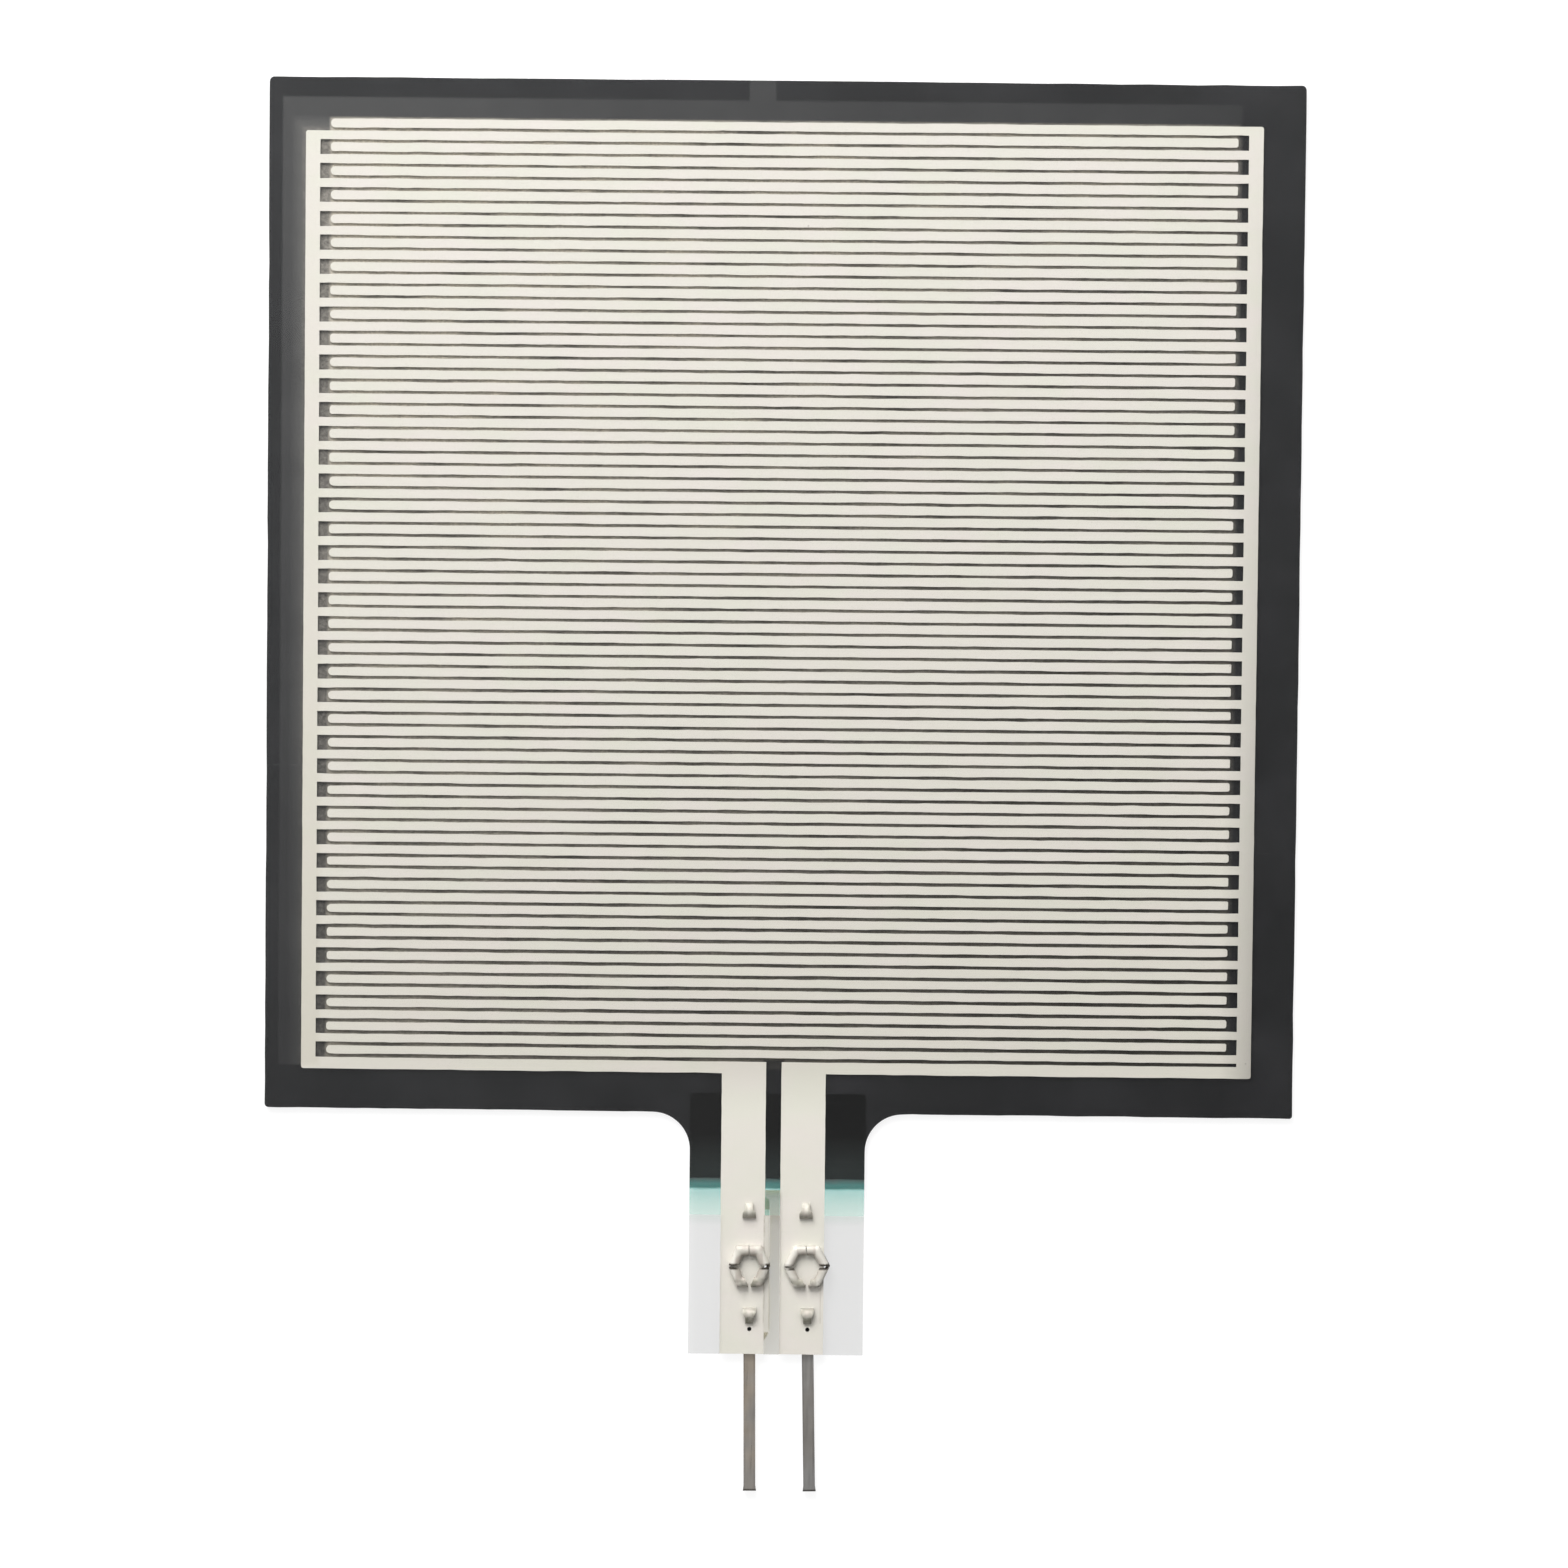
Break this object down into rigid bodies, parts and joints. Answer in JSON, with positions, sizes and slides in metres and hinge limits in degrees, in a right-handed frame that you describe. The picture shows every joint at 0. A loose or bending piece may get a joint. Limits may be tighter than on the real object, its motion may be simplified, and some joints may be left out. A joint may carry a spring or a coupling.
{
  "type": "force sensing resistor",
  "caption": "Square thin-film force sensing resistor: clear film over interleaved silver combs and black carbon print, with a tail and two crimped solder pins.",
  "frame": {"origin": "middle of the square body, on the back of the release liner", "axes": "+X to the right of the electrode face, +Y along the long way of the part and away from the tail, +Z out of the electrode face"},
  "size_m": [0.0436, 0.0598, 0.0008],
  "materials": {
    "clear_film": "clear glossy polyester film",
    "silver_ink": "matte screen-printed silver ink seen through film",
    "carbon_ink": "matte black carbon print",
    "adhesive": "clear acrylic adhesive",
    "insulation_ink": "translucent green dielectric print",
    "liner_paper": "silicone-coated kraft paper",
    "tinned_contact": "dull tinned copper alloy"
  },
  "bodies": {
    "root": {"release_liner": "liner_paper", "rear_adhesive": "adhesive", "back_film": "clear_film", "force_sensing_ink": "carbon_ink", "spacer_adhesive": "adhesive", "insulation_print": "insulation_ink", "left_comb": "silver_ink", "right_comb": "silver_ink", "front_film": "clear_film", "left_contact": "tinned_contact", "right_contact": "tinned_contact"}
  },
  "joints": []
}
